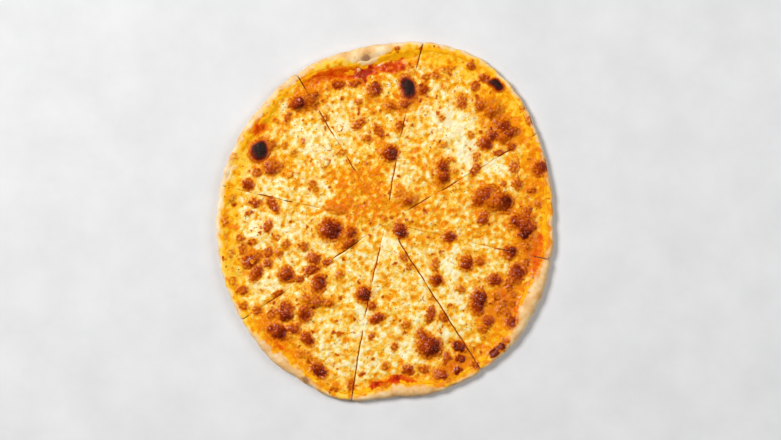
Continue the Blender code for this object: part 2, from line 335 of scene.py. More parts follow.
# Red sauce that shows or comes up through thin cheese.
RED_PATCHES = (
    # sauce arc, upper left
    (-74, 131, 10, 7, 52, 0.47), (-60, 139, 12, 8.5, 25, 0.48), (-42, 143.5, 13, 8.5, 2, 0.46),
    (-28, 142, 10, 7, 0, 0.46), (-19, 142, 9, 6, 35, 1.3), (-14, 146, 4, 3, 60, 0.50),
    (-5, 147, 11, 7, 10, 0.62), (9, 149, 11, 7, 5, 0.60), (20, 149, 9, 8, -20, 0.40),
    (-40, 138, 30, 4, 4, 0.16), (-36, 131, 14, 5, -5, 0.30),
    # sliver at the bottom and the right edge
    (-6, -157, 12, 3.6, 5, 1.0), (10, -151.5, 8, 4.2, 25, 0.85), (22, -152.5, 10, 2.6, -5, 0.65),
    (141, -40, 8, 22, 12, 0.44), (149, -26, 6, 16, -5, 0.36), (146, -10, 6, 14, -5, 0.40), (133, -20, 8, 14, 0, 0.32),
    # smaller patches
    (-121, 89, 10, 6, 25, 0.58), (-104, -119, 16, 5, -38, 0.42), (-82, -138, 14, 4, -36, 0.22),
    (116, -78, 17, 14, -55, 0.60), (104, 108, 16, 7, -62, 0.62), (-45, 12, 12, 6, -15, 0.60),
    (-100, 92, 14, 5, 45, 0.34), (-76, 112, 15, 10, 10, 0.42), (100, -97, 11, 7, 30, 0.40),
    (62, -142, 24, 6, 20, 0.58), (-112, -102, 12, 7, -45, 0.42), (113, 88, 12, 10, 0, 0.46),
    (144, 40, 8, 12, 0, 0.24), (-34, -16, 9, 8, 0, 0.30), (104, 22, 14, 12, 0, 0.30),
)
# How much the cheese has browned there, added to the usual.
BROWN_PATCHES = (
    (107, 20, 20, 18, 0, 0.5), (32, 120, 12, 10, 0, 0.5), (150, 58, 8, 12, 0, 0.3), (112, 90, 20, 16, -45, 0.6), (116, -76, 18, 16, -60, 0.6),
    (62, -140, 36, 12, 20, 0.6), (-98, -100, 26, 20, -40, 0.4), (-128, -36, 16, 24, 0, 0.35),
    (-108, 46, 16, 12, 0, 0.5), (4, 112, 28, 14, 0, 0.5), (132, -10, 14, 30, 0, 0.5),
    (-70, 114, 22, 14, 0, 0.4), (52, 44, 14, 16, 0, 0.3), (20, 20, 16, 12, 0, 0.3),
    (-125, -40, 14, 15, 0, 0.55), (-66, -76, 11, 9, 0, 0.70), (-98, -94, 15, 16, 0, 0.50),
    (51, 46, 10, 16, 0, 0.60), (138, 40, 6, 6, 0, 0.40), (75, -124, 10, 15, 0, 0.50),
    (-80, 114, 14, 11, 25, 0.60), (30, 127, 16, 14, 0, 0.50), (-36, -15, 11, 11, 0, 0.60),
    (136, -6, 10, 16, 0, 0.50), (112, 88, 16, 18, 0, 0.50), (-6, -92, 10, 9, 0, 0.40),
    (60, -150, 16, 7, 15, 0.60), (90, -92, 12, 10, 0, 0.30),
    (77, 66, 15, 21, 20, -0.6), (60, 98, 22, 12, -15, -0.4), (-64, 72, 24, 9, -42, -0.5),
    (-20, -100, 16, 24, 10, -0.2), (61, -42, 8, 14, 10, -0.3), (-20, 34, 36, 22, -35, -0.3),
)
# Browned blisters: (x, y, half length, half width, tilt, how dark from 0 to 1).
BLISTERS = (
    # slice 2 to 4, upper left
    (-77, 116, 12, 9, 25, 0.50), (-84, 114, 8, 6.5, 20, 0.84), (-67, 122, 3.5, 3.5, 0, 0.70), (-69, 113, 4.5, 4, 0, 0.58),
    (-58, 100, 4, 3.5, 0, 0.60), (-94, 100, 6, 3.5, 70, 0.64), (-105, 97, 3.5, 3, 0, 0.50),
    (-109, 52, 8, 7, 0, 0.62), (-124, 47, 4.5, 4, 0, 0.62), (-132, 35, 5.5, 5, 0, 0.74),
    (-126, 18, 6, 4, 0, 0.70), (-131, 8, 4.5, 2.8, 20, 0.70), (-108, 15, 8, 4, -50, 0.76),
    (-150, 23, 5, 5, 0, 0.36), (-146, 62, 4.5, 4, 0, 0.42), (-70, 36, 4, 3.5, 0, 0.60),
    (-67, 30, 3, 3, 0, 0.55), (-91, 45, 3.5, 3.5, 0, 0.50), (-45, 132, 6.5, 4.5, 0, 0.74),
    (-29, 133, 6, 3.5, 15, 0.74), (-10, 127, 7, 6.5, 60, 0.70), (-25, 115, 4, 3.5, 0, 0.60),
    (-25, 94, 7, 4, 45, 0.64), (-6, 87, 8, 3.5, -55, 0.70), (-17, 80, 4.5, 4, 0, 0.55),
    (5, 65, 8, 7.5, 0, 0.82), (-43, 66, 6, 3, 10, 0.50), (-48, 10, 8, 3.5, -10, 0.46),
    (-97, 73, 3.5, 3, 0, 0.50), (-110, 74, 5, 5, 0, 0.52), (-88, 66, 4, 3, 0, 0.48),
    # slices 1 and 2, upper right
    (37, 127, 5, 5, 0, 0.72), (19, 113, 5, 5, 0, 0.68), (6, 111, 5, 4.5, 0, 0.60),
    (14, 92, 5, 3.5, 80, 0.68), (40, 139, 5, 3, 10, 0.60), (49, 141, 4, 3.5, 0, 0.60),
    (61, 147, 8, 3, 15, 0.50), (83, 150, 4.5, 4, 0, 0.66), (96, 138, 5, 4, 0, 0.76),
    (87, 131, 6, 4, 80, 0.68), (92, 112, 6, 5, 80, 0.62), (74, 115, 6.5, 5, 80, 0.60),
    (55, 99, 3.3, 3.3, 0, 0.56), (83, 83, 3.3, 3.3, 0, 0.56), (97, 75, 6.5, 6, 0, 0.74),
    (104, 83, 5.5, 5.5, 0, 0.76), (114, 92, 7, 6.5, 0, 0.70), (120, 86, 6.5, 6, 0, 0.70), (114, 80, 6, 5, 0, 0.60),
    (109, 96, 4.5, 4, 0, 0.62), (104, 110, 11, 9, -40, 0.42), (101, 104, 5, 4.5, 0, 0.60),
    (122, 72, 4.5, 4, 0, 0.74), (110, 66, 5, 3, 15, 0.72), (127, 87, 4, 3.5, 0, 0.62),
    (139, 97, 5, 4, -60, 0.55), (132, 109, 3, 3, 0, 0.50), (87, 50, 7, 4, 55, 0.68),
    (88, 62, 5.5, 3.5, 75, 0.56), (55, 47, 13, 6.5, 86, 0.60), (56, 53, 5.5, 5, 90, 0.76), (57, 42, 5.5, 5, 0, 0.80),
    (63, 59, 4, 3.5, 0, 0.58), (67, 48, 3.5, 3, 0, 0.52), (57, 73, 4, 2, 0, 0.50),
    (21, 22, 10, 7, -30, 0.44), (22, 19, 3.5, 3.5, 0, 0.72), (14, 27, 4, 3, 0, 0.50), (94, 24, 12, 6, 50, 0.72),
    (104, 33, 8, 3, 0, 0.62), (115, 17, 9, 8, 80, 0.78), (104, 23, 13, 12, 0, 0.52),
    (95, 3, 7, 5, 70, 0.70), (128, 36, 5, 5, 0, 0.62), (114, 35, 3.5, 3.5, 0, 0.60),
    (124, 52, 7, 3.5, 85, 0.62), (142, 29, 4.5, 3.5, 0, 0.68), (148, 16, 3.5, 3.5, 0, 0.60),
    (149, 51, 4.5, 4.5, 0, 0.60), (138, 8, 7, 4, 75, 0.70), (129, 0, 8, 7, 0, 0.72),
    # slices 4 to 6, lower left
    (-155, -1, 5, 3, 80, 0.56), (-140, -17, 4, 4, 0, 0.62), (-129, -20, 5.5, 2.5, 0, 0.62),
    (-138, -27, 6, 4, 80, 0.62), (-113, -5, 6, 4, 75, 0.70), (-105, -16, 3.5, 3, 0, 0.56),
    (-96, -23, 5, 3.5, 75, 0.60), (-79, -24, 5.5, 4, 0, 0.60), (-52, -9, 11, 9.5, -10, 0.82),
    (-36, -17, 9, 7.5, 60, 0.48), (-33, -11, 5, 5, 0, 0.78), (-35, -23, 8, 3, 33, 0.82), (-56, -40, 4.5, 3, 20, 0.78),
    (-71, -47, 8, 4, 15, 0.80), (-69, -36, 6, 6, 0, 0.66), (-113, -31, 6, 4, 70, 0.70),
    (-103, -31, 4, 4, 0, 0.60), (-113, -41, 4.5, 4.5, 0, 0.68), (-131, -39, 7, 6.5, 0, 0.74), (-124, -34, 5, 5, 0, 0.56),
    (-124, -50, 8, 5, 60, 0.73), (-95, -52, 7, 7, 0, 0.74), (-83, -56, 4.5, 4, 0, 0.68),
    (-64, -60, 8.5, 7, 80, 0.77), (-68, -76, 8, 7, 0, 0.52), (-150, -32, 5, 4, 80, 0.42), (-138, -67, 5.5, 4, 10, 0.66),
    (-147, -58, 5, 4, 80, 0.48), (-137, -82, 4.5, 4, 0, 0.62), (-124, -86, 4.5, 4, 0, 0.62),
    (-103, -70, 5.5, 3, 35, 0.72), (-110, -90, 6, 4, 80, 0.64), (-96, -87, 9, 7, 80, 0.77),
    (-98, -93, 4.5, 4.5, 0, 0.85), (-77, -89, 8, 6, 80, 0.72), (-104, -107, 10, 7, -30, 0.83),
    (-88, -104, 6.5, 5, 0, 0.70), (-75, -114, 7.5, 5, -50, 0.75), (-82, -128, 4, 4, 0, 0.50),
    (-73, -131, 4, 3.5, 0, 0.50), (-64, -144, 9, 6, -40, 0.84), (-49, -162, 5.5, 2.5, 0, 0.65),
    (-33, -158, 6, 3.5, 85, 0.68), (-20, -71, 7.5, 7, 40, 0.82), (-13, -82, 4.5, 4.5, 0, 0.66),
    (-8, -94, 7.5, 4.5, 20, 0.77), (-13, -112, 4, 3, 80, 0.70), (-44, -109, 3.5, 3, 0, 0.66),
    (-57, -79, 9, 4, -15, 0.58), (-76, -75, 5.5, 5, 0, 0.50), (-44, -52, 4.5, 4, 0, 0.54),
    # slices 6 to 8, lower right
    (15, -9, 7, 6, -50, 0.85), (62, -16, 6.5, 4.5, 15, 0.82), (137, -8, 12, 6.5, 75, 0.84),
    (121, -30, 6.5, 6.5, 0, 0.78), (138, -25, 3.5, 3.5, 0, 0.66), (18, -35, 4, 4, 0, 0.58),
    (23, -43, 3.5, 3.5, 0, 0.55), (49, -41, 5.5, 4, 80, 0.54), (50, -57, 6, 5.5, 0, 0.80),
    (79, -41, 7, 6, 80, 0.75), (91, -39, 5, 4.5, 0, 0.62), (106, -57, 6.5, 6, 0, 0.75),
    (127, -51, 10, 7, 75, 0.73), (120, -66, 3.5, 3, 0, 0.66), (136, -43, 8, 3.5, 80, 0.66),
    (73, -66, 4.5, 4, 0, 0.58), (90, -78, 12, 7, 82, 0.82), (100, -96, 5.5, 5, 0, 0.73),
    (95, -105, 4.5, 4, 0, 0.60), (122, -97, 6, 5.5, 80, 0.79), (116, -116, 4, 3, 40, 0.62),
    (44, -90, 8, 4.5, 80, 0.69), (56, -92, 4.5, 4.5, 0, 0.62), (45, -75, 3.5, 3, 0, 0.54),
    (43, -121, 11, 10, 0, 0.84), (36, -110, 6, 5, -45, 0.72), (20, -101, 5.5, 3.5, 0, 0.57),
    (9, -122, 4, 3.5, 80, 0.60), (72, -121, 7.5, 4.5, -30, 1.0), (73, -133, 5.5, 4, 0, 0.96),
    (70, -144, 4.5, 3.5, 45, 1.0), (59, -133, 6.5, 3.5, 80, 0.72), (22, -144, 5.5, 4.5, 0, 0.78),
    (37, -143, 5, 4, 0, 0.66), (54, -148, 7, 5, 10, 0.70), (87, -139, 4.5, 3.5, 0, 0.73),
    (108, -72, 4, 4, 0, 0.58), (114, -80, 5, 4, 30, 0.62), (123, -80, 4, 4, 0, 0.62),
    (118, -88, 4.5, 4, 0, 0.62), (110, -87, 4, 3.5, 0, 0.60), (104, -79, 3.5, 3, 0, 0.56),
    (124, -71, 4, 3.5, 0, 0.62), (97, -101, 4.5, 4, 30, 0.60), (119, -60, 4.5, 4, 80, 0.66),
    (12, 166, 2.6, 2.4, 0, 0.66), (30, 160, 2.2, 2.0, 0, 0.45),
    (0, -140, 3.5, 3.5, 0, 0.60), (112, -121, 5, 4, 40, 1.06), (105, -127, 5.5, 4, 30, 1.04),
    (149.5, 50.5, 7.5, 6.5, 60, 0.74),
    (0, -159, 5.5, 3.4, 10, 0.50), (142, 31, 4.0, 3.2, 60, 0.46),
)
# Bubbles with a browned ring round a pale top: (x, y, radius, how dark).
RINGS = (
    (-58.5, 56, 5.0, 0.40), (-92, 45, 3.2, 0.46), (-55, 71, 3.6, 0.36), (-44, 90, 3.2, 0.40),
    (42, 86, 3.6, 0.36), (-128, -39, 3.0, 0.40), (22, -29, 3.0, 0.30), (-20, -98, 3.0, 0.30),
    (33, -74, 3.4, 0.36), (-155, 62, 4.2, 0.46), (52, -103, 2.4, 0.30), (-32, 40, 3.4, 0.36),
)
# The burnt bubbles, as dark as charcoal in the middle.
CHARS = (
    (-121, 68, 11.0, 8.6, 72, 1.0), (22.5, 127.5, 11.5, 7.6, -72, 1.0), (107, 132, 9, 4.6, -30, 0.98),
)
# Faint scorch marks on the bare dough.
SCORCHES = (
    (-18, 156, 6, 5.5, 0, 0.9), (-77, -153, 5, 3.5, -35, 0.8), (149, 52, 6, 5.5, 0, 0.9),
    (-152, 45, 6, 6, 0, 0.35), (-118, -124, 5, 4, 0, 0.3),
    (-45, 160, 5, 3, 20, 0.18), (146, -84, 5, 9, -20, 0.20), (128, -112, 8, 4, 45, 0.22),
)


# Where a cut's cheese edges stand apart: (cut, from, to, half gap) along the cut.
OPEN_CUTS = (
    (0, 24, 50, 0.35), (0, 60, 80, 0.35), (0, 124, 142, 0.35), (1, 20, 60, 0.25),
    (1, 151, 178, 0.40), (1, 84, 104, 0.25), (2, 56, 74, 0.25), (2, 96, 126, 0.25), (2, 150, 170, 0.60),
    (3, 92, 100, 0.40), (3, 112, 126, 0.30), (4, 32, 62, 0.42), (4, 120, 142, 0.30),
    (5, 24, 60, 0.25), (5, 72, 92, 0.30), (5, 108, 172, 0.35), (6, 20, 70, 0.35),
    (6, 74, 162, 0.42), (7, 106, 124, 0.35), (7, 148, 165, 0.60),
)
# Cream lips beside cuts: (cut, +1 counter-clockwise or -1 clockwise, from, to, width).
CUT_LIPS = (
    (5, 1, 8, 150, 2.6), (1, -1, 22, 64, 3.0), (2, -1, 44, 66, 1.8), (2, -1, 86, 122, 2.2), (0, -1, 112, 142, 2.6), (4, 1, 38, 60, 1.8),
    (6, 1, 60, 120, 1.6), (7, -1, 92, 108, 2.6), (0, 1, 84, 116, 2.2), (3, -1, 96, 128, 1.8),
)
# Raised cream folds in the cheese, along arcs: (x, y, radius, from, to, width, amount),
# and creases between folds, sunk a little and darkened as painted shade.
FOLDS = (
    (-80, 58, 13, -60, 75, 2.2, 0.9), (55, 99.5, 6.5, -180, 180, 2.2, 0.8),
    (60, 86, 6, -180, 180, 2.0, 0.6), (90, 60, 11, 95, 245, 2.4, 0.9),
    (60, 74, 15, -40, 50, 3.0, 0.8), (-106, -6, 40, 167, 195, 1.4, 0.8),
    (-128, -4, 13, 40, 140, 2.0, 0.5), (-128, -3, 12, 215, 325, 1.6, 0.6),
    (-119, -21, 5, 200, 340, 1.2, 0.6), (-74, -46, 9.5, 165, 300, 1.6, 0.9),
    (-141, -9, 40, -13, 13, 1.3, 0.7), (7, -60, 42, -57, -17, 2.0, 0.7),
    (50, -104, 6, -180, 180, 1.8, 0.6), (75, 46, 27, 160, 195, 1.5, 0.6),
    (-58.5, 56, 8.6, 150, 420, 1.8, 0.6), (88, -44, 24, 150, 215, 2.4, 0.7),
    (112, 44, 12, 200, 330, 2.0, 0.7), (-96, -52, 11, 20, 160, 1.6, 0.5),
    (-30, -92, 9, -90, 90, 2.2, 0.5), (30, 118, 14, -30, 60, 2.0, 0.5),
)
SHADED_CREASES = (
    (89, 54, 40, -19, 20, 0.7, 0.55), 
    (90, 60, 8.4, 150, 250, 0.7, 0.3), (112, 44, 13.8, 210, 320, 0.7, 0.4),
)


def pizza_fields():
    """Masks and relief of the whole pizza, each a field on the grid."""
    tone = TONE + patches(TONE_PATCHES) + 0.12 * bumps(21, 9.0) + 0.15 * bumps(22, 4.2)
    tone += (RING_TONE + bulges(DIRECTION, RING_BULGES)) * (1.0 - smooth(10.0, 40.0, INSET))
    brown = patches(BROWN_PATCHES)
    red = patches(RED_PATCHES, MIDDLING)
    skirt = patches([(x, y, 1.3 * a, 1.5 * b, tilt, t) for x, y, a, b, tilt, t in RED_PATCHES], MIDDLING)
    tone += 0.40 * np.clip(skirt, 0.0, 1.0)
    red = np.clip(red * (1.0 + 0.12 * bumps(23, 4.0)), 0.0, 1.0)
    film_edge = FILM_WIDTH + bulges(DIRECTION, FILM_BULGES) + 2.0 * bumps(24, 9.0)
    film = 1.0 - smooth(-3.5, 3.5, INSET - film_edge + 1.5 * bumps(25, 3.5))
    bare = np.clip(patches(PALE_PATCHES, SMALL), 0.0, 1.0)
    film = np.clip(film + patches(FILM_PATCHES) - bare, 0.0, 1.0)
    pale_edge = PALE_WIDTH + bulges(DIRECTION, PALE_BULGES) + 0.9 * bumps(26, 8.0)
    stain = smooth(-3.0, 3.5, INSET - pale_edge + 0.6 * bumps(27, 4.0)) * (1.0 - bare)
    baked = bulges(DIRECTION, BAKED_BULGES) + 0.13 * bumps(28, 9.0) + 0.05 * bumps(29, 3.0)

    oil = np.zeros_like(X)
    toast = np.zeros_like(X)
    # Oil runs into the hollows of the cheese and leaves its high spots paler; the hollows are also made more orange as
    # painted shade.
    rough = 0.15 * bumps(32, 4.5) + 0.12 * bumps(34, 2.6) + 0.05 * bumps(33, 1.6)
    tone -= 0.40 * rough
    relief = 0.28 * bumps(31, 13.0) + rough
    relief *= 1.0 - 0.6 * film
    relief *= 1.0 - 0.5 * red
    relief += 0.14 * film * bumps(39, 5.5)

    # Small bubbles: pits that hold yellow oil, and spots that have begun to brown.
    rng = np.random.default_rng(41)
    for x, y in scatter(42, 4.5, 20000):
        size = rng.uniform(1.0, 2.1)
        stretch = rng.uniform(1.0, 1.5)
        tilt = rng.uniform(0.0, 180.0)
        kind = rng.uniform()
        depth = rng.uniform()
        x_now = np.array([x])
        y_now = np.array([y])
        browning = 1.0 + read(brown, x_now, y_now)[0]
        calm = 1.0 - 0.58 * read(film, x_now, y_now)[0]
        calm *= 1.0 - 0.8 * read(red, x_now, y_now)[0]
        if kind < 0.50:
            window, distance = oval(x, y, size * stretch, size, tilt, 1.9)
            pit = (1.0 - smooth(0.5, 1.35, distance)) * calm
            oil[window] = np.maximum(oil[window], pit * (0.58 + 0.42 * depth))
            relief[window] -= 0.40 * pit
            ring = 0.24 * rng.uniform(-0.4, 1.0) * np.exp(-(((distance - 1.05) / 0.28) ** 2)) * calm
            dot = 0.40 * rng.uniform(-0.8, 1.0) * np.exp(-((distance / 0.55) ** 2)) * calm
            toast[window] = np.maximum(toast[window], np.maximum(ring, dot))
        elif kind < 0.50 + 0.26 * browning * calm:
            size *= 1.0 + 0.6 * depth
            window, distance = oval(x, y, size * stretch, size, tilt, 2.4)
            spot = 1.0 - smooth(0.1, 1.5, distance)
            halo = 1.0 - smooth(0.7, 2.3, distance)
            strength = 0.28 + 0.34 * depth * depth * browning
            toast[window] = np.maximum(toast[window], strength * spot)
            oil[window] = np.maximum(oil[window], 0.7 * halo)
            relief[window] += 0.30 * spot

    # Specks of white curd, which stand up a little; they are also whiter to stand in for small glints, as painted
    # highlights.
    for x, y in scatter(46, 4.6, 20000):
        size = rng.uniform(0.9, 2.0)
        stretch = rng.uniform(1.0, 1.7)
        x_now = np.array([x])
        y_now = np.array([y])
        calm = 1.0 - 0.9 * max(read(film, x_now, y_now)[0], read(red, x_now, y_now)[0])
        calm *= 1.0 - 0.85 * float(smooth(0.50, 0.75, read(tone, x_now, y_now)[0]))
        window, distance = oval(x, y, size * stretch, size, rng.uniform(0.0, 180.0), 2.0)
        curd_and_glint = (1.0 - smooth(0.3, 1.5, distance)) * calm * rng.uniform(0.3, 1.0)
        tone[window] -= 0.26 * curd_and_glint
        oil[window] *= 1.0 - 0.8 * curd_and_glint
        relief[window] += 0.18 * curd_and_glint

    # Specks of browned milk and herb dust.
    for x, y in scatter(44, 4.4, 18000):
        size = rng.uniform(0.45, 0.95)
        strength = rng.uniform(0.1, 0.46)
        window, distance = oval(x, y, size * rng.uniform(1.0, 1.6), size, rng.uniform(0, 180), 2.0)
        toast[window] = np.maximum(toast[window], strength * (1.0 - smooth(0.4, 1.6, distance)))

    toast *= smooth(0.2, 0.9, stain)

    # Browning round the blisters, then the blisters: each is a main bubble, a darker core
    # off its middle, and smaller bubbles that have run into it.
    browned = 0.36 * smooth(0.15, 1.15, brown + 0.30 * bumps(36, 4.5))
    toast = np.maximum(toast, browned * (1.0 - 0.7 * red))
    burnt = np.zeros_like(X)
    rng = np.random.default_rng(43)
    for table, is_char in ((BLISTERS, False), (CHARS, True)):
        for x, y, half_long, half_wide, tilt, dark in table:
            turn = math.radians(tilt)
            grown = float(smooth(2.8, 6.5, np.float64(half_wide)))
            if not is_char:
                dark *= 0.86 + 0.18 * grown
            parts = [(0.0, 0.0, 1.0, 0.97 if not is_char else 1.0)]
            heading = rng.uniform(0.0, 2.0 * math.pi)
            if is_char or grown > 0.4:
                parts.append((0.22 * math.cos(heading), 0.22 * math.sin(heading), 0.70, 1.0))
            for index in range(0 if is_char else 1 + int(half_long / 3.5)):
                heading = rng.uniform(0.0, 2.0 * math.pi)
                out = rng.uniform(0.45, 0.80)
                size = rng.uniform(0.32, 0.55)
                shade = rng.uniform(0.65, 0.95)
                parts.append((out * math.cos(heading), out * math.sin(heading), size, shade))
            # Each blister is painted darker on one side, about the lower right, and its browned ring is darker there
            # too: painted shade.
            painted_shade_side = math.radians(-45.0) + rng.normal(0.0, 0.6)
            for u, v, size, shade in parts:
                along = u * half_long
                aside = v * half_wide
                middle_x = x + along * math.cos(turn) - aside * math.sin(turn)
                middle_y = y + along * math.sin(turn) + aside * math.cos(turn)
                window, distance = oval(
                    middle_x, middle_y, max(0.8, size * half_long),
                    max(0.8, size * half_wide), tilt, 2.3, CALM if is_char else SMALL,
                )
                level = dark * shade
                core = 1.0 - smooth(0.68, 1.24, distance)
                edge = 1.0 - smooth(0.85, 1.90, distance)
                angle = np.arctan2(Y[window] - middle_y, X[window] - middle_x)
                if is_char:
                    # Chars are painted lighter and maroon towards the lower left and darkest up to the right: a painted
                    # lit side and shaded side.
                    side = 0.5 + 0.5 * np.cos(angle - math.radians(35.0))
                    core = 1.0 - smooth(0.70, 1.24, distance)
                    core *= 1.0 - 0.24 * (1.0 - side) * smooth(0.3, 0.9, distance)
                    edge = 1.0 - smooth(1.0, 1.7, distance)
                else:
                    side = 0.5 + 0.5 * np.cos(angle - painted_shade_side)
                    rim = np.exp(-(((distance - 0.80) / 0.25) ** 2)) * (0.45 + 0.55 * side)
                    pale = 0.26 - 0.14 * grown
                    core = core * (1.04 - pale + pale * rim - 0.28 * grown * (1.0 - side))
                toast[window] = np.maximum(toast[window], level * core)
                toast[window] = np.maximum(toast[window], min(0.45, 0.62 * level) * edge)
                dome = np.sqrt(np.clip(1.0 - (distance / 1.2) ** 2, 0.0, 1.0))
                rise = (0.24 if is_char else 0.28) * size * half_wide * dome
                relief[window] += rise * (1.0 if size > 0.9 else 0.7)
                if size > 0.9:
                    halo = 1.0 - smooth(0.9, 2.0, distance)
                    oil[window] = np.maximum(oil[window], 0.85 * halo)
                    tone[window] += 0.12 * halo
                    if is_char:
                        burnt[window] = np.maximum(burnt[window], core)
    for x, y, radius, dark in RINGS:
        window, distance = oval(x, y, radius, radius, 0.0, 1.9)
        angle = np.arctan2(Y[window] - y, X[window] - x)
        # The browned ring is painted darker towards the lower right: painted shade.
        side = 0.5 + 0.5 * np.cos(angle - math.radians(-35.0))
        ring = np.exp(-(((distance - 0.9) / 0.36) ** 2)) * (0.65 + 0.35 * side)
        top = 1.0 - smooth(0.65, 1.0, distance)
        toast[window] = np.maximum(toast[window] * (1.0 - 0.8 * top), dark * ring)
        oil[window] *= 1.0 - 0.7 * top
        relief[window] += 0.22 * radius * np.sqrt(np.clip(1.0 - (distance / 1.15) ** 2, 0.0, 1.0))
    wrinkled = smooth(0.38, 0.6, toast) * (1.0 - 0.7 * burnt)
    uneven = 0.50 + 0.50 * np.clip(bumps(40, 6.0), -0.9, 1.5)
    relief += wrinkled * (0.24 * uneven * bumps(37, 2.8) + 0.09 * uneven * bumps(38, 1.7))
    scorch = patches(SCORCHES, SMALL)
    mottle = (0.14 - 0.10 * smooth(0.35, 0.7, toast)) * (1.0 - 0.9 * burnt)
    toast *= 1.0 + mottle * np.clip(bumps(35, 2.0), -2.0, 2.0)
    # Painted shade: a brown line along every cut, strongest where the cut stands open.
    toast = np.maximum(toast, 0.55 * painted_cut_shade())
    lips = np.maximum(cut_lips(), arcs(FOLDS)) * (1.0 - smooth(0.25, 0.5, toast))
    tone -= 0.45 * lips
    oil *= 1.0 - 0.85 * lips
    toast *= 1.0 - 0.6 * lips * (1.0 - smooth(0.45, 0.6, toast))
    relief += 0.5 * lips
    # Creases: a groove in the relief, and a brown line in it as painted shade.
    crease_groove_and_shade = arcs(SHADED_CREASES)
    toast = np.maximum(toast, crease_groove_and_shade)
    relief -= 0.5 * crease_groove_and_shade
    return {
        "tone": np.clip(tone, 0.0, 1.0),
        "red": np.clip(red, 0.0, 1.0),
        "film": film,
        "stain": stain,
        "baked": np.clip(baked, 0.0, 1.0),
        "oil": oil,
        "toast": np.clip(toast, 0.0, 1.0),
        "scorch": np.clip(scorch, 0.0, 1.0),
        "burnt": burnt,
        "relief": relief,
    }


def cut_drift(cut, radii):
    """How far the cheese along a cut has run to one side of the knife's line."""
    drift = 0.24 * np.sin(radii / 6.1 + 1.7 * cut) + 0.16 * np.sin(radii / 2.3 + 2.9 * cut)
    return drift * smooth(8.0, 18.0, radii) * (1.0 - smooth(138.0, 150.0, radii))


def from_cut(cut):
    """Signed distance from a cut, positive on its counter-clockwise side."""
    heading, swing = CUTS[cut]
    away = DIRECTION - heading - swing * (1.0 - RADIUS / OUTER_RADIUS)
    return RADIUS * np.radians((away + 180.0) % 360.0 - 180.0) - cut_drift(cut, RADIUS)


def painted_cut_shade():
    """Painted shade along the cuts: 1 along the edges where they stand open, and a fainter line along every cut."""
    field = np.zeros_like(X)
    for cut, start, end, gap in OPEN_CUTS:
        beside = np.exp(-((from_cut(cut) / 0.9) ** 2))
        reach = smooth(start - 4.0, start + 4.0, RADIUS) * (1.0 - smooth(end - 4.0, end + 4.0, RADIUS))
        field = np.maximum(field, beside * reach)
    for cut in range(len(CUTS)):
        line = np.exp(-((from_cut(cut) / 0.6) ** 2)) * smooth(6.0, 16.0, RADIUS)
        line *= 0.55 + 0.25 * np.sin(RADIUS / 5.3 + 2.1 * cut)
        field = np.maximum(field, line)
    return field


def cut_lips():
    """Raised cream edges of cheese beside some cuts; 1 on the crest."""
    field = np.zeros_like(X)
    for cut, side, start, end, width in CUT_LIPS:
        distance = from_cut(cut) * side
        crest = np.where(distance > 0, np.exp(-(((distance - 0.6 * width) / (0.7 * width)) ** 2)), 0.0)
        reach = smooth(start - 6.0, start + 6.0, RADIUS) * (1.0 - smooth(end - 10.0, end + 10.0, RADIUS))
        field = np.maximum(field, crest * reach * (0.75 + 0.25 * np.clip(bumps(51 + cut, 4.0), -2, 2)))
    return np.clip(field, 0.0, 1.0)


def arcs(table):
    """Soft lines along arcs of circles; 1 on the middle of the strongest."""
    field = np.zeros_like(X)
    for x, y, radius, start, end, width, amount in table:
        window, distance = oval(x, y, radius, radius, 0.0, 1.0 + 2.5 * width / radius, MIDDLING)
        angle = np.degrees(np.arctan2(Y[window] - y, X[window] - x))
        away = np.abs((angle - 0.5 * (start + end) + 180.0) % 360.0 - 180.0)
        half = 0.5 * (end - start)
        fade = math.degrees(3.0 / radius)
        reach = 1.0 - smooth(half - fade, half + fade, away)
        if half >= 179.0:
            reach = 1.0
        line = np.exp(-(((distance - 1.0) * radius / width) ** 2))
        field[window] = np.maximum(field[window], amount * line * reach)
    return field


FIELDS = pizza_fields()


# ---------------------------------------------------------------- meshes of the slices

def zip_chains(chain_a, chain_b, along_a, along_b):
    """Triangles between two chains of point numbers, matched by how far along they are."""
    middle_a = 0.5 * (along_a[1:] + along_a[:-1])
    middle_b = 0.5 * (along_b[1:] + along_b[:-1])
    apex_a = chain_b[np.searchsorted(middle_b, middle_a, side="left")]
    apex_b = chain_a[np.searchsorted(middle_a, middle_b, side="right")]
    first = np.stack((chain_a[:-1], apex_a, chain_a[1:]), axis=1)
    second = np.stack((chain_b[:-1], chain_b[1:], apex_b), axis=1)
    return np.concatenate((first, second))


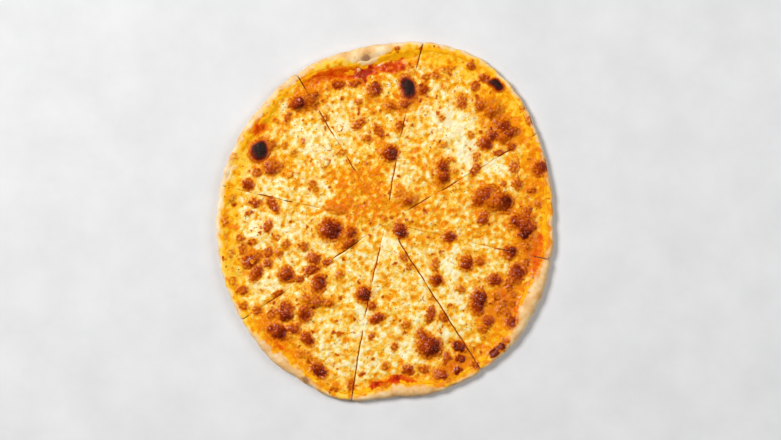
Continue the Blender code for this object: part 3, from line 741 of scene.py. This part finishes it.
class Wedge:
    """One slice, seen from above: turns a share across it and a radius into a place."""

    def __init__(self, number):
        self.number = number
        self.first, self.first_swing = CUTS[number]
        self.last, self.last_swing = CUTS[(number + 1) % len(CUTS)]
        if self.last < self.first:
            self.last += 360.0
        half_span = 0.5 * (self.last + self.last_swing - self.first - self.first_swing)
        self.tip = 0.5 * KNIFE_GAP / math.sin(math.radians(half_span))

    def row(self, radius_at, step, trims=None):
        """Points across the slice about step apart, at radius_at(direction).
        Returns shares, directions, radii, x, y and the width of the slice there."""
        middle = np.array([0.5 * (self.first + self.last)])
        rough = float(radius_at(middle % 360.0)[0])
        if rough <= self.tip * 1.001:
            shares = np.array([0.5])
        else:
            span = math.radians(self.last - self.first)
            shares = np.linspace(0.0, 1.0, max(1, round(rough * span / step)) + 1)
        directions = (self.first + (self.last - self.first) * shares) % 360.0
        radii = np.maximum(radius_at(directions), self.tip * 1.0001)
        low_gap = high_gap = np.full_like(radii, 0.5 * KNIFE_GAP)
        low_drift = high_drift = 0.0
        if trims:
            (low_gap, low_drift), (high_gap, high_drift) = trims(self.number, radii)
        self.openness = (smooth(0.04, 0.28, low_gap), smooth(0.04, 0.28, high_gap))
        low_trim = low_gap + low_drift
        high_trim = high_gap + high_drift
        bend = 1.0 - radii / OUTER_RADIUS
        low = self.first + self.first_swing * bend
        low = low + np.degrees(np.arcsin(np.clip(low_trim / radii, -1.0, 1.0)))
        high = self.last + self.last_swing * bend
        high = high - np.degrees(np.arcsin(np.clip(high_trim / radii, -1.0, 1.0)))
        angle = np.radians(low + (high - low) * shares)
        x = CUTS_MEET[0] + radii * np.cos(angle)
        y = CUTS_MEET[1] + radii * np.sin(angle)
        return shares, directions, radii, x, y, radii * np.radians(high - low)


def closed_mesh(name, rows, masks):
    """Mesh from rows of points that run from the tip out along the top, round the outer
    edge and back along the underside to the tip. Each row is (shares, radii, points)."""
    starts = np.cumsum([0] + [len(row[0]) for row in rows])
    points = np.concatenate([row[2] for row in rows])
    radii = np.concatenate([row[1] for row in rows])
    faces = []
    for index in range(len(rows) - 1):
        chain_a = np.arange(starts[index], starts[index + 1])
        chain_b = np.arange(starts[index + 1], starts[index + 2])
        faces.append(zip_chains(chain_a, chain_b, rows[index][0], rows[index + 1][0]))
    for ends, flip in ((starts[:-1], False), (starts[1:] - 1, True)):
        outermost = int(np.argmax(radii[ends]))
        above = ends[: outermost + 1]
        below = ends[outermost + 1:][::-1]
        sides = zip_chains(above, below, radii[above], radii[below])
        faces.append(sides[:, ::-1] if flip else sides)
    faces = np.concatenate(faces)

    mesh = bpy.data.meshes.new(name)
    mesh.vertices.add(len(points))
    mesh.vertices.foreach_set("co", (points * MM).astype(np.float32).ravel())
    mesh.loops.add(faces.size)
    mesh.loops.foreach_set("vertex_index", faces.astype(np.int32).ravel())
    mesh.polygons.add(len(faces))
    mesh.polygons.foreach_set("loop_start", np.arange(0, faces.size, 3, dtype=np.int32))
    mesh.update(calc_edges=True)
    mesh.validate()
    mesh.shade_smooth()
    mesh.set_sharp_from_angle(angle=math.radians(65))
    for mask in masks:
        values = read(FIELDS[mask], points[:, 0], points[:, 1]).astype(np.float32)
        mesh.attributes.new(mask, "FLOAT", "POINT").data.foreach_set("value", values)
    return mesh


def add_piece(name, mesh, material, node):
    piece = bpy.data.objects.new(name, mesh)
    piece.data.materials.append(material)
    bpy.context.scene.collection.objects.link(piece)
    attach(piece, "root")
    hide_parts(node)
    return piece


def top_row(wedge, radius_at, step, height_at, edge_drop=0.0, trims=None):
    """A row for closed_mesh. height_at(direction, inset, x, y) gives its heights, and
    within about a millimetre of a cut the points drop by up to edge_drop."""
    shares, directions, radii, x, y, width = wedge.row(radius_at, step, trims)
    inset = outer_radius(directions) - radii
    z = height_at(directions, inset, x, y)
    for far, openness in zip((width * shares, width * (1.0 - shares)), wedge.openness):
        z = z - edge_drop * (0.35 + 0.65 * openness) * np.exp(-((far / 0.8) ** 2))
    return shares, radii, np.stack((x, y, z), axis=1)


def spaced(start, end, step):
    """Shares from start to end, evenly, about step apart."""
    return np.linspace(start, end, max(1, round(abs(end - start) / step)) + 1)


FINE = 0.62                   # point spacing of what shows
COARSE = 5.0                  # point spacing of what lies hidden
RIM_FINE = 0.8
SAUCE_FINE = 0.7
CLOSED_CUT = 0.12             # how near the two sides of a cut may come, in half gaps

def cheese_trims(number, radii):
    """Half gaps of the cheese along the slice's two cuts."""
    both = []
    for side, cut in enumerate((number, (number + 1) % len(CUTS))):
        half = np.full_like(radii, 0.5 * KNIFE_GAP * CLOSED_CUT)
        for which, start, end, gap in OPEN_CUTS:
            if which == cut:
                middle = smooth(start - 4.0, start + 4.0, radii) * (1 - smooth(end - 4.0, end + 4.0, radii))
                half = np.maximum(half, gap * middle)
        wave = 0.5 + 0.5 * np.sin(radii * 0.9 + 2.0 * number + 3.0 * side)
        half = half * (0.65 + 0.5 * wave * np.abs(np.sin(radii * 0.31 + cut)))
        drift = cut_drift(cut, radii)
        both.append((half, drift if side == 0 else -drift))
    return both


def cheese_mesh(wedge, name):
    def edge_inset(direction):
        return cheese_inset(direction) + ripple(direction, 5, (12, 90), 0.6)

    def top(direction, inset, x, y):
        reach = inset - edge_inset(direction)
        film = read(FIELDS["film"], x, y)
        lip = 0.7 - 0.45 * film
        layer = lip * np.sqrt(1.0 - (1.0 - np.clip(reach / 1.6, 0.0, 1.0)) ** 2)
        layer = layer + (CHEESE_THICKNESS - lip) * smooth(0.0, EDGE_FADE, reach)
        fade = smooth(0.0, 4.0, reach)
        rough = (read(FIELDS["relief"], x, y) + waves_at(x, y)) * fade
        return dough_top(direction, inset) + SAUCE_THICKNESS - 0.35 + layer + rough

    def under(direction, inset, x, y):
        return dough_top(direction, inset) + 0.35

    wedge.tip *= CLOSED_CUT

    def radius_at(share):
        return lambda direction: wedge.tip + (
            outer_radius(direction) - edge_inset(direction) - wedge.tip
        ) * share

    reach = OUTER_RADIUS - 7.0
    rows = [
        top_row(wedge, radius_at(share), FINE, top, 0.55, cheese_trims)
        for share in spaced(0.0, 1.0, FINE / reach)
    ]
    rows += [
        top_row(wedge, radius_at(share), COARSE, under, 0.0, cheese_trims)
        for share in spaced(1.0, 0.0, COARSE / reach)[1:]
    ]
    return closed_mesh(name, rows, ("tone", "red", "film", "oil", "toast", "burnt"))


def dough_trims(number, radii):
    """Half gaps of the sauce and the dough along the slice's two cuts."""
    half = 0.5 * KNIFE_GAP * (0.3 + 0.7 * smooth(136.0, 146.0, radii))
    return (half, 0.0), (half, 0.0)


def sauce_mesh(wedge, name):
    def edge_inset(direction):
        return sauce_inset(direction) + ripple(direction, 7, (15, 90), 0.6)

    def top(direction, inset, x, y):
        reach = inset - edge_inset(direction)
        layer = (SAUCE_THICKNESS + 0.3) * smooth(0.0, 3.0, reach) - 0.3
        rough = 0.5 * read(FIELDS["relief"], x, y) * smooth(0.5, 3.0, reach)
        rough = np.where(reach > 14.0, 0.0, rough)
        return dough_top(direction, inset) + layer + rough

    def under(direction, inset, x, y):
        return dough_top(direction, inset) - 0.5

    def inner(share):
        return lambda direction: wedge.tip + (
            outer_radius(direction) - cheese_inset(direction) - 4.0 - wedge.tip
        ) * share

    def outer(share):
        return lambda direction: outer_radius(direction) - (
            (cheese_inset(direction) + 4.0) * (1 - share) + edge_inset(direction) * share
        )

    reach = OUTER_RADIUS - 10.0
    rows = [
        top_row(wedge, inner(share), COARSE, top, 0.1, dough_trims)
        for share in spaced(0.0, 1.0, COARSE / reach)
    ]
    rows += [
        top_row(wedge, outer(share), SAUCE_FINE, top, 0.2, dough_trims)
        for share in spaced(0.0, 1.0, SAUCE_FINE / 11.0)[1:]
    ]
    rows += [
        top_row(wedge, inner(share), COARSE, under, 0.0, dough_trims)
        for share in spaced(1.0, 0.0, COARSE / reach)
    ]
    return closed_mesh(name, rows, ("red", "film", "stain", "toast", "oil"))


def crust_mesh(wedge, name):
    def corner(direction):
        """The rim is pressed in a little where a cut ends at the outer edge."""
        press = np.zeros_like(direction)
        for cut, depth in ((1, 1.2), (2, 2.0), (4, 1.4), (7, 2.2), (0, 0.6), (5, 1.0), (6, 1.0)):
            away = (direction - CUTS[cut][0] + 180.0) % 360.0 - 180.0
            press += depth * np.exp(-np.abs(away) / 0.55)
        return press

    def outer_edge(direction):
        return outer_radius(direction) - corner(direction)

    def relief(x, y, inset):
        rough = read(FIELDS["relief"], x, y)
        return 0.5 * rough * smooth(0.5, 5.0, inset)

    def top(direction, inset, x, y):
        return dough_top(direction, inset) + relief(x, y, inset)

    def hidden_top(direction, inset, x, y):
        return dough_top(direction, inset) - 0.25

    def flat(direction, inset, x, y):
        return np.zeros_like(x)

    fine_inset = 6.0

    def inner(share):
        return lambda direction: wedge.tip + (
            outer_radius(direction) - sauce_inset(direction) - fine_inset - wedge.tip
        ) * share

    def slope(share):
        return lambda direction: outer_radius(direction) - (
            (sauce_inset(direction) + fine_inset) * (1 - share) + crest_inset(direction) * share
        )

    def upper(angle):
        inward = 1.0 - math.cos(angle)
        radius_at = lambda direction: outer_edge(direction) - crest_inset(direction) * inward

        def height(direction, inset, x, y):
            crest_relief = relief(x, y, inset)
            rise = (rim_height(direction) - RIM_SIDE_HEIGHT) * math.sin(angle)
            return RIM_SIDE_HEIGHT + rise + crest_relief * math.sin(angle)
        return radius_at, height

    def lower(angle):
        inward = RIM_FOOT * (1.0 - math.cos(angle))
        radius_at = lambda direction: outer_edge(direction) - inward

        def height(direction, inset, x, y):
            return np.full_like(x, RIM_SIDE_HEIGHT * (1.0 - math.sin(angle)))
        return radius_at, height

    def foot(share):
        return lambda direction: wedge.tip + (outer_edge(direction) - RIM_FOOT - wedge.tip) * share

    reach = OUTER_RADIUS - 10.0
    rows = [
        top_row(wedge, inner(share), COARSE, hidden_top, 0.0, dough_trims)
        for share in spaced(0.0, 1.0, COARSE / reach)
    ]
    rows += [
        top_row(wedge, slope(share), RIM_FINE, top, 0.4, dough_trims)
        for share in spaced(0.0, 1.0, RIM_FINE / 11.0)
    ]
    for angle in spaced(0.5 * math.pi, 0.0, 0.13)[1:]:
        radius_at, height = upper(angle)
        rows.append(top_row(wedge, radius_at, RIM_FINE, height, 0.4 * math.sin(angle), dough_trims))
    for angle in spaced(0.0, 0.5 * math.pi, 0.26)[1:]:
        radius_at, height = lower(angle)
        rows.append(top_row(wedge, radius_at, 1.5, height, 0.0, dough_trims))
    rows += [
        top_row(wedge, foot(share), COARSE, flat, 0.0, dough_trims)
        for share in spaced(1.0, 0.0, COARSE / reach)[1:]
    ]
    return closed_mesh(name, rows, ("stain", "baked", "tone", "red", "toast", "scorch"))


# ---------------------------------------------------------------- materials

def colour(red, green, blue):
    """Linear colour from the usual 0 to 255 values."""
    return tuple(
        c / 12.92 if c <= 0.04045 else ((c + 0.055) / 1.055) ** 2.4
        for c in (red / 255.0, green / 255.0, blue / 255.0)
    ) + (1.0,)


class Look:
    """A Principled material, with short ways to add nodes."""

    def __init__(self, name):
        self.material = bpy.data.materials.new(name)
        self.material.use_nodes = True
        self.tree = self.material.node_tree
        self.shader = self.tree.nodes["Principled BSDF"]

    def node(self, kind, settings=(), **inputs):
        new = self.tree.nodes.new("ShaderNode" + kind)
        for key, value in settings:
            setattr(new, key, value)
        for key, value in inputs.items():
            self.fill(new.inputs[key.replace("_", " ")], value)
        return new

    def fill(self, socket, value):
        if isinstance(value, bpy.types.NodeSocket):
            self.tree.links.new(value, socket)
        else:
            socket.default_value = value

    def mask(self, name):
        return self.node("Attribute", (("attribute_name", name),)).outputs["Fac"]

    def noise(self, size, detail=3.0, roughness=0.55):
        """Fine noise from 0 to 1, about size millimetres across."""
        place = self.node("TexCoord").outputs["Object"]
        made = self.node(
            "TexNoise", Vector=place, Scale=1.0 / (size * MM), Detail=detail, Roughness=roughness
        )
        return made.outputs["Fac"]

    def math(self, operation, a, b, c=None, clamp=False):
        made = self.node("Math", (("operation", operation), ("use_clamp", clamp)))
        self.fill(made.inputs[0], a)
        self.fill(made.inputs[1], b)
        if c is not None:
            self.fill(made.inputs[2], c)
        return made.outputs[0]

    def span(self, value, low, high, to_low=0.0, to_high=1.0):
        """Value from the range low to high, moved smoothly to another range."""
        made = self.node("MapRange", (("interpolation_type", "SMOOTHSTEP"),))
        for socket, amount in zip(made.inputs, (value, low, high, to_low, to_high)):
            self.fill(socket, amount)
        return made.outputs[0]

    def ramp(self, value, stops):
        made = self.node("ValToRGB", Fac=value)
        elements = made.color_ramp.elements
        while len(elements) < len(stops):
            elements.new(0.5)
        for element, (position, shade) in zip(elements, stops):
            element.position = position
            element.color = colour(*shade)
        return made.outputs["Color"]

    def mix(self, share, a, b):
        made = self.node("Mix", (("data_type", "RGBA"),))
        self.fill(made.inputs[0], share)
        self.fill(made.inputs[6], a)
        self.fill(made.inputs[7], b)
        return made.outputs[2]

    def bump(self, height, distance, strength=1.0, normal=None):
        made = self.node("Bump", Height=height, Distance=distance * MM, Strength=strength)
        if normal is not None:
            self.fill(made.inputs["Normal"], normal)
        return made.outputs["Normal"]

    def finish(self, base, roughness, normal=None, **constants):
        self.fill(self.shader.inputs["Base Color"], base)
        self.fill(self.shader.inputs["Roughness"], roughness)
        if normal is not None:
            self.fill(self.shader.inputs["Normal"], normal)
        for key, value in constants.items():
            self.shader.inputs[key.replace("_", " ")].default_value = value
        return self.material


TOAST_STOPS = (
    (0.00, (248, 186, 40)), (0.22, (238, 150, 14)), (0.40, (210, 106, 2)), (0.57, (172, 62, 0)),
    (0.74, (126, 34, 0)), (0.90, (78, 18, 2)), (1.00, (32, 20, 15)),
)
CHEESE_STOPS = (
    (0.00, (255, 246, 202)), (0.20, (255, 231, 146)), (0.40, (253, 208, 84)),
    (0.60, (250, 180, 26)), (0.80, (247, 154, 0)), (1.00, (240, 124, 0)),
)
FILM_STOPS = (
    (0.00, (255, 212, 80)), (0.35, (254, 186, 16)), (0.65, (248, 158, 0)), (1.00, (234, 120, 0)),
)
DOUGH_STOPS = (
    (0.00, (253, 230, 188)), (0.35, (246, 208, 150)), (0.70, (234, 182, 116)), (1.00, (214, 154, 90)),
)
OIL_STOPS = (
    (0.00, (242, 200, 60)), (0.35, (243, 178, 24)), (0.65, (236, 148, 6)), (1.00, (218, 106, 0)),
)
RED_STOPS = ((0.00, (242, 142, 8)), (0.40, (232, 98, 0)), (0.75, (206, 54, 0)), (1.00, (158, 24, 2)))


def cheese_look():
    look = Look("melted_cheese")
    fine = look.noise(1.3)
    middle = look.noise(4.0)
    jitter = look.math("ADD", look.span(fine, 0.2, 0.8, -0.24, 0.24), look.span(middle, 0.2, 0.8, -0.08, 0.08))
    tone = look.math("ADD", look.mask("tone"), jitter, clamp=True)
    base = look.ramp(tone, CHEESE_STOPS)
    peach = look.span(look.noise(5.5, 2.0), 0.45, 0.7, 0.0, 0.42)
    peach = look.math("MULTIPLY", peach, look.span(tone, 0.45, 0.72, 1.0, 0.0))
    base = look.mix(peach, base, colour(252, 206, 150))
    base = look.mix(look.mask("oil"), base, look.ramp(tone, OIL_STOPS))
    film_tone = look.span(tone, 0.15, 0.95, 0.18, 0.88)
    film_tone = look.math("ADD", film_tone, look.span(look.noise(2.8), 0.25, 0.75, -0.16, 0.16))
    base = look.mix(look.mask("film"), base, look.ramp(film_tone, FILM_STOPS))
    red = look.math("ADD", look.mask("red"), look.span(fine, 0.2, 0.8, -0.10, 0.10), clamp=True)
    base = look.mix(look.span(red, 0.12, 0.75, 0.0, 0.95), base, look.ramp(red, RED_STOPS))
    toast = look.math("ADD", look.mask("toast"), look.span(fine, 0.25, 0.75, -0.05, 0.05), clamp=True)
    base = look.mix(look.span(toast, 0.08, 0.42), base, look.ramp(toast, TOAST_STOPS))
    rough = look.span(middle, 0.2, 0.8, 0.25, 0.37)
    rough = look.math("SUBTRACT", rough, look.span(toast, 0.35, 0.7, 0.0, 0.10))
    rough = look.math("ADD", rough, look.math("MULTIPLY", look.mask("burnt"), 0.45))
    grain = look.bump(look.noise(0.9, 2.0), 0.10, 0.4)
    return look.finish(base, rough, grain, Specular_IOR_Level=0.18)


def sauce_look():
    look = Look("tomato_sauce")
    fine = look.noise(1.6)
    red = look.math("ADD", look.mask("red"), look.span(fine, 0.2, 0.8, -0.15, 0.15), clamp=True)
    under = look.ramp(look.span(look.noise(4.0), 0.3, 0.7, 0.30, 0.62), FILM_STOPS)
    base = look.mix(look.span(red, 0.05, 0.45), under, look.ramp(red, RED_STOPS))
    base = look.mix(look.span(look.mask("stain"), 0.3, 0.9), colour(246, 208, 152), base)
    toast = look.mask("toast")
    base = look.mix(look.span(toast, 0.15, 0.5), base, look.ramp(toast, TOAST_STOPS))
    return look.finish(base, 0.6, Specular_IOR_Level=0.06)


def crust_look():
    look = Look("baked_dough")
    fine = look.noise(1.2)
    place = look.node("SeparateXYZ", Vector=look.node("TexCoord").outputs["Object"])
    # The masks are those of the top; down the side a noise takes over from them.
    side = look.span(place.outputs["Z"], 6.5 * MM, 3.5 * MM, 0.0, 0.85)
    top = look.math("SUBTRACT", 1.0, side)
    blotches = look.span(look.noise(7.0, 3.0, 0.55), 0.32, 0.68, 0.12, 0.62)
    baked = look.math("ADD", look.math("MULTIPLY", look.mask("baked"), top), look.math("MULTIPLY", blotches, side))
    baked = look.math("ADD", baked, look.span(fine, 0.2, 0.8, -0.08, 0.08), clamp=True)
    pale = look.ramp(baked, DOUGH_STOPS)
    stain = look.math("ADD", look.mask("stain"), look.span(fine, 0.2, 0.8, -0.12, 0.12), clamp=True)
    stain = look.math("MULTIPLY", stain, look.span(place.outputs["Z"], 2.5 * MM, 6.0 * MM))
    yellow = look.ramp(look.span(look.mask("tone"), 0.15, 0.95, 0.05, 0.9), FILM_STOPS)
    base = look.mix(look.span(stain, 0.15, 0.85), pale, yellow)
    red = look.mask("red")
    base = look.mix(look.math("MULTIPLY", look.span(red, 0.15, 0.6), stain), base, look.ramp(red, RED_STOPS))
    underside = look.span(place.outputs["Z"], 3.5 * MM, 0.6 * MM)
    scorch = look.ramp(
        look.noise(11.0, 4.0, 0.6),
        ((0.35, (233, 196, 140)), (0.55, (203, 148, 88)), (0.68, (140, 84, 44)), (0.80, (72, 44, 28))),
    )
    base = look.mix(underside, base, scorch)
    toast = look.math("MULTIPLY", look.mask("toast"), top)
    toast = look.math("ADD", toast, look.span(fine, 0.25, 0.75, -0.04, 0.04), clamp=True)
    smoky = look.math("ADD", look.math("MULTIPLY", look.mask("scorch"), top), look.span(fine, 0.2, 0.8, -0.12, 0.12), clamp=True)
    base = look.mix(look.span(smoky, 0.1, 0.9, 0.0, 0.85), base, colour(146, 98, 66))
    lit = look.math("SUBTRACT", 1.0, underside)
    base = look.mix(look.math("MULTIPLY", look.span(toast, 0.1, 0.45), lit), base, look.ramp(toast, TOAST_STOPS))
    rough = look.span(stain, 0.2, 0.9, 0.72, 0.40)
    grain = look.bump(look.noise(1.0, 3.0, 0.6), 0.12, 0.6)
    return look.finish(base, rough, grain, Specular_IOR_Level=0.2)


def herb_look():
    look = Look("dried_herbs")
    base = look.ramp(look.noise(1.5), ((0.3, (84, 74, 30)), (0.5, (112, 102, 42)), (0.7, (140, 122, 56))))
    return look.finish(base, 0.7, Specular_IOR_Level=0.2)


def floor_look():
    look = Look("pale_floor")
    base = look.ramp(
        look.noise(60.0, 5.0, 0.6), ((0.3, (222, 222, 223)), (0.5, (227, 227, 228)), (0.7, (232, 232, 233)))
    )
    return look.finish(base, 0.8)


# ---------------------------------------------------------------- herbs

def herbs_mesh(wedge, name, surface, count):
    """Dried herb crumbs, each a small bent flake that lies on the cheese."""
    rng = np.random.default_rng(70 + wedge.number)
    points = []
    faces = []
    for index in range(count):
        share = rng.uniform(0.04, 0.96)
        direction = wedge.first + (wedge.last - wedge.first) * share
        radius = 155.0 * math.sqrt(rng.uniform(0.004, 1.0))
        angle = math.radians(direction)
        x = CUTS_MEET[0] + radius * math.cos(angle)
        y = CUTS_MEET[1] + radius * math.sin(angle)
        z = surface(x, y)
        length = rng.uniform(0.35, 0.75)
        width = length * rng.uniform(0.4, 0.9)
        turn = rng.uniform(0.0, 2.0 * math.pi)
        start = len(points)
        corners = 6
        for level in (-0.12, 0.16):
            for corner in range(corners):
                around = 2.0 * math.pi * corner / corners
                reach = rng.uniform(0.75, 1.1)
                u = length * reach * math.cos(around)
                v = width * reach * math.sin(around)
                bend = 0.18 * (u / length) ** 2
                points.append((
                    x + u * math.cos(turn) - v * math.sin(turn),
                    y + u * math.sin(turn) + v * math.cos(turn),
                    z + level + bend,
                ))
        faces.append(tuple(range(start + corners - 1, start - 1, -1)))
        faces.append(tuple(range(start + corners, start + 2 * corners)))
        for corner in range(corners):
            following = (corner + 1) % corners
            faces.append((
                start + corner, start + following,
                start + corners + following, start + corners + corner,
            ))
    mesh = bpy.data.meshes.new(name)
    mesh.from_pydata([tuple(c * MM for c in point) for point in points], [], faces)
    mesh.validate()
    mesh.shade_flat()
    return mesh


def nearest_height(mesh):
    """Function (x, y) that gives the height of a mesh's top point nearest to a place."""
    points = np.zeros(len(mesh.vertices) * 3, np.float32)
    mesh.vertices.foreach_get("co", points)
    points = points.reshape(-1, 3) / MM

    def height(x, y):
        near = np.hypot(points[:, 0] - x, points[:, 1] - y) < 1.0
        return float(points[near, 2].max()) if near.any() else 6.0
    return height


def build_pizza():
    crust_material = crust_look()
    sauce_material = sauce_look()
    cheese_material = cheese_look()
    herb_material = herb_look()
    for number in range(len(CUTS)):
        wedge = Wedge(number)
        label = str(number + 1)
        for kind, make_mesh, material, slot in (
            ("crust_", crust_mesh, crust_material, "baked_dough"),
            ("sauce_", sauce_mesh, sauce_material, "tomato_sauce"),
            ("cheese_", cheese_mesh, cheese_material, "melted_cheese"),
        ):
            name = "baked_" + kind + label
            mesh = make_mesh(wedge, name)
            add_piece(name, mesh, material, kind + label)
        name = "herbs_" + label
        herbs = bpy.data.objects.new(name, herbs_mesh(wedge, name, nearest_height(mesh), 26))
        herbs.data.materials.append(herb_material)
        bpy.context.scene.collection.objects.link(herbs)
        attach(herbs, "root")


# ---------------------------------------------------------------- floor, light and camera

def add_floor():
    half = 4.0
    mesh = bpy.data.meshes.new("floor")
    mesh.from_pydata([(-half, -half, 0), (half, -half, 0), (half, half, 0), (-half, half, 0)], [], [(0, 1, 2, 3)])
    floor = bpy.data.objects.new("floor", mesh)
    floor.data.materials.append(floor_look())
    floor.location.z = -0.0003
    bpy.context.scene.collection.objects.link(floor)


def add_light(name, place, size, power, tint=(1.0, 1.0, 1.0)):
    light = bpy.data.lights.new(name, "AREA")
    light.shape = "DISK"
    light.size = size
    light.energy = power
    light.color = tint
    lamp = bpy.data.objects.new(name, light)
    lamp.location = place
    lamp.rotation_euler = lamp.location.to_track_quat("Z", "Y").to_euler()
    bpy.context.scene.collection.objects.link(lamp)


def add_world(strength):
    world = bpy.data.worlds.new("soft_room")
    world.use_nodes = True
    background = world.node_tree.nodes["Background"]
    background.inputs["Color"].default_value = (1.0, 1.0, 1.0, 1.0)
    background.inputs["Strength"].default_value = strength
    bpy.context.scene.world = world


def add_camera():
    """Straight down on the pizza, which fills a little under half of the frame's width."""
    frame_width = 0.7576
    height = 1.6
    camera = bpy.data.cameras.new("camera")
    camera.sensor_width = 36.0
    camera.lens = camera.sensor_width * height / frame_width
    holder = bpy.data.objects.new("camera", camera)
    holder.location = (0.0053, 0.0010, height)
    bpy.context.scene.collection.objects.link(holder)
    bpy.context.scene.camera = holder


build_pizza()
add_floor()
add_light("window", (-1.65, 1.0, 2.15), 1.0, 75.0)
add_light("right_fill", (1.5, 0.2, 1.5), 1.2, 15.0)
add_world(0.14)
add_camera()
bpy.context.scene.view_settings.view_transform = "Standard"
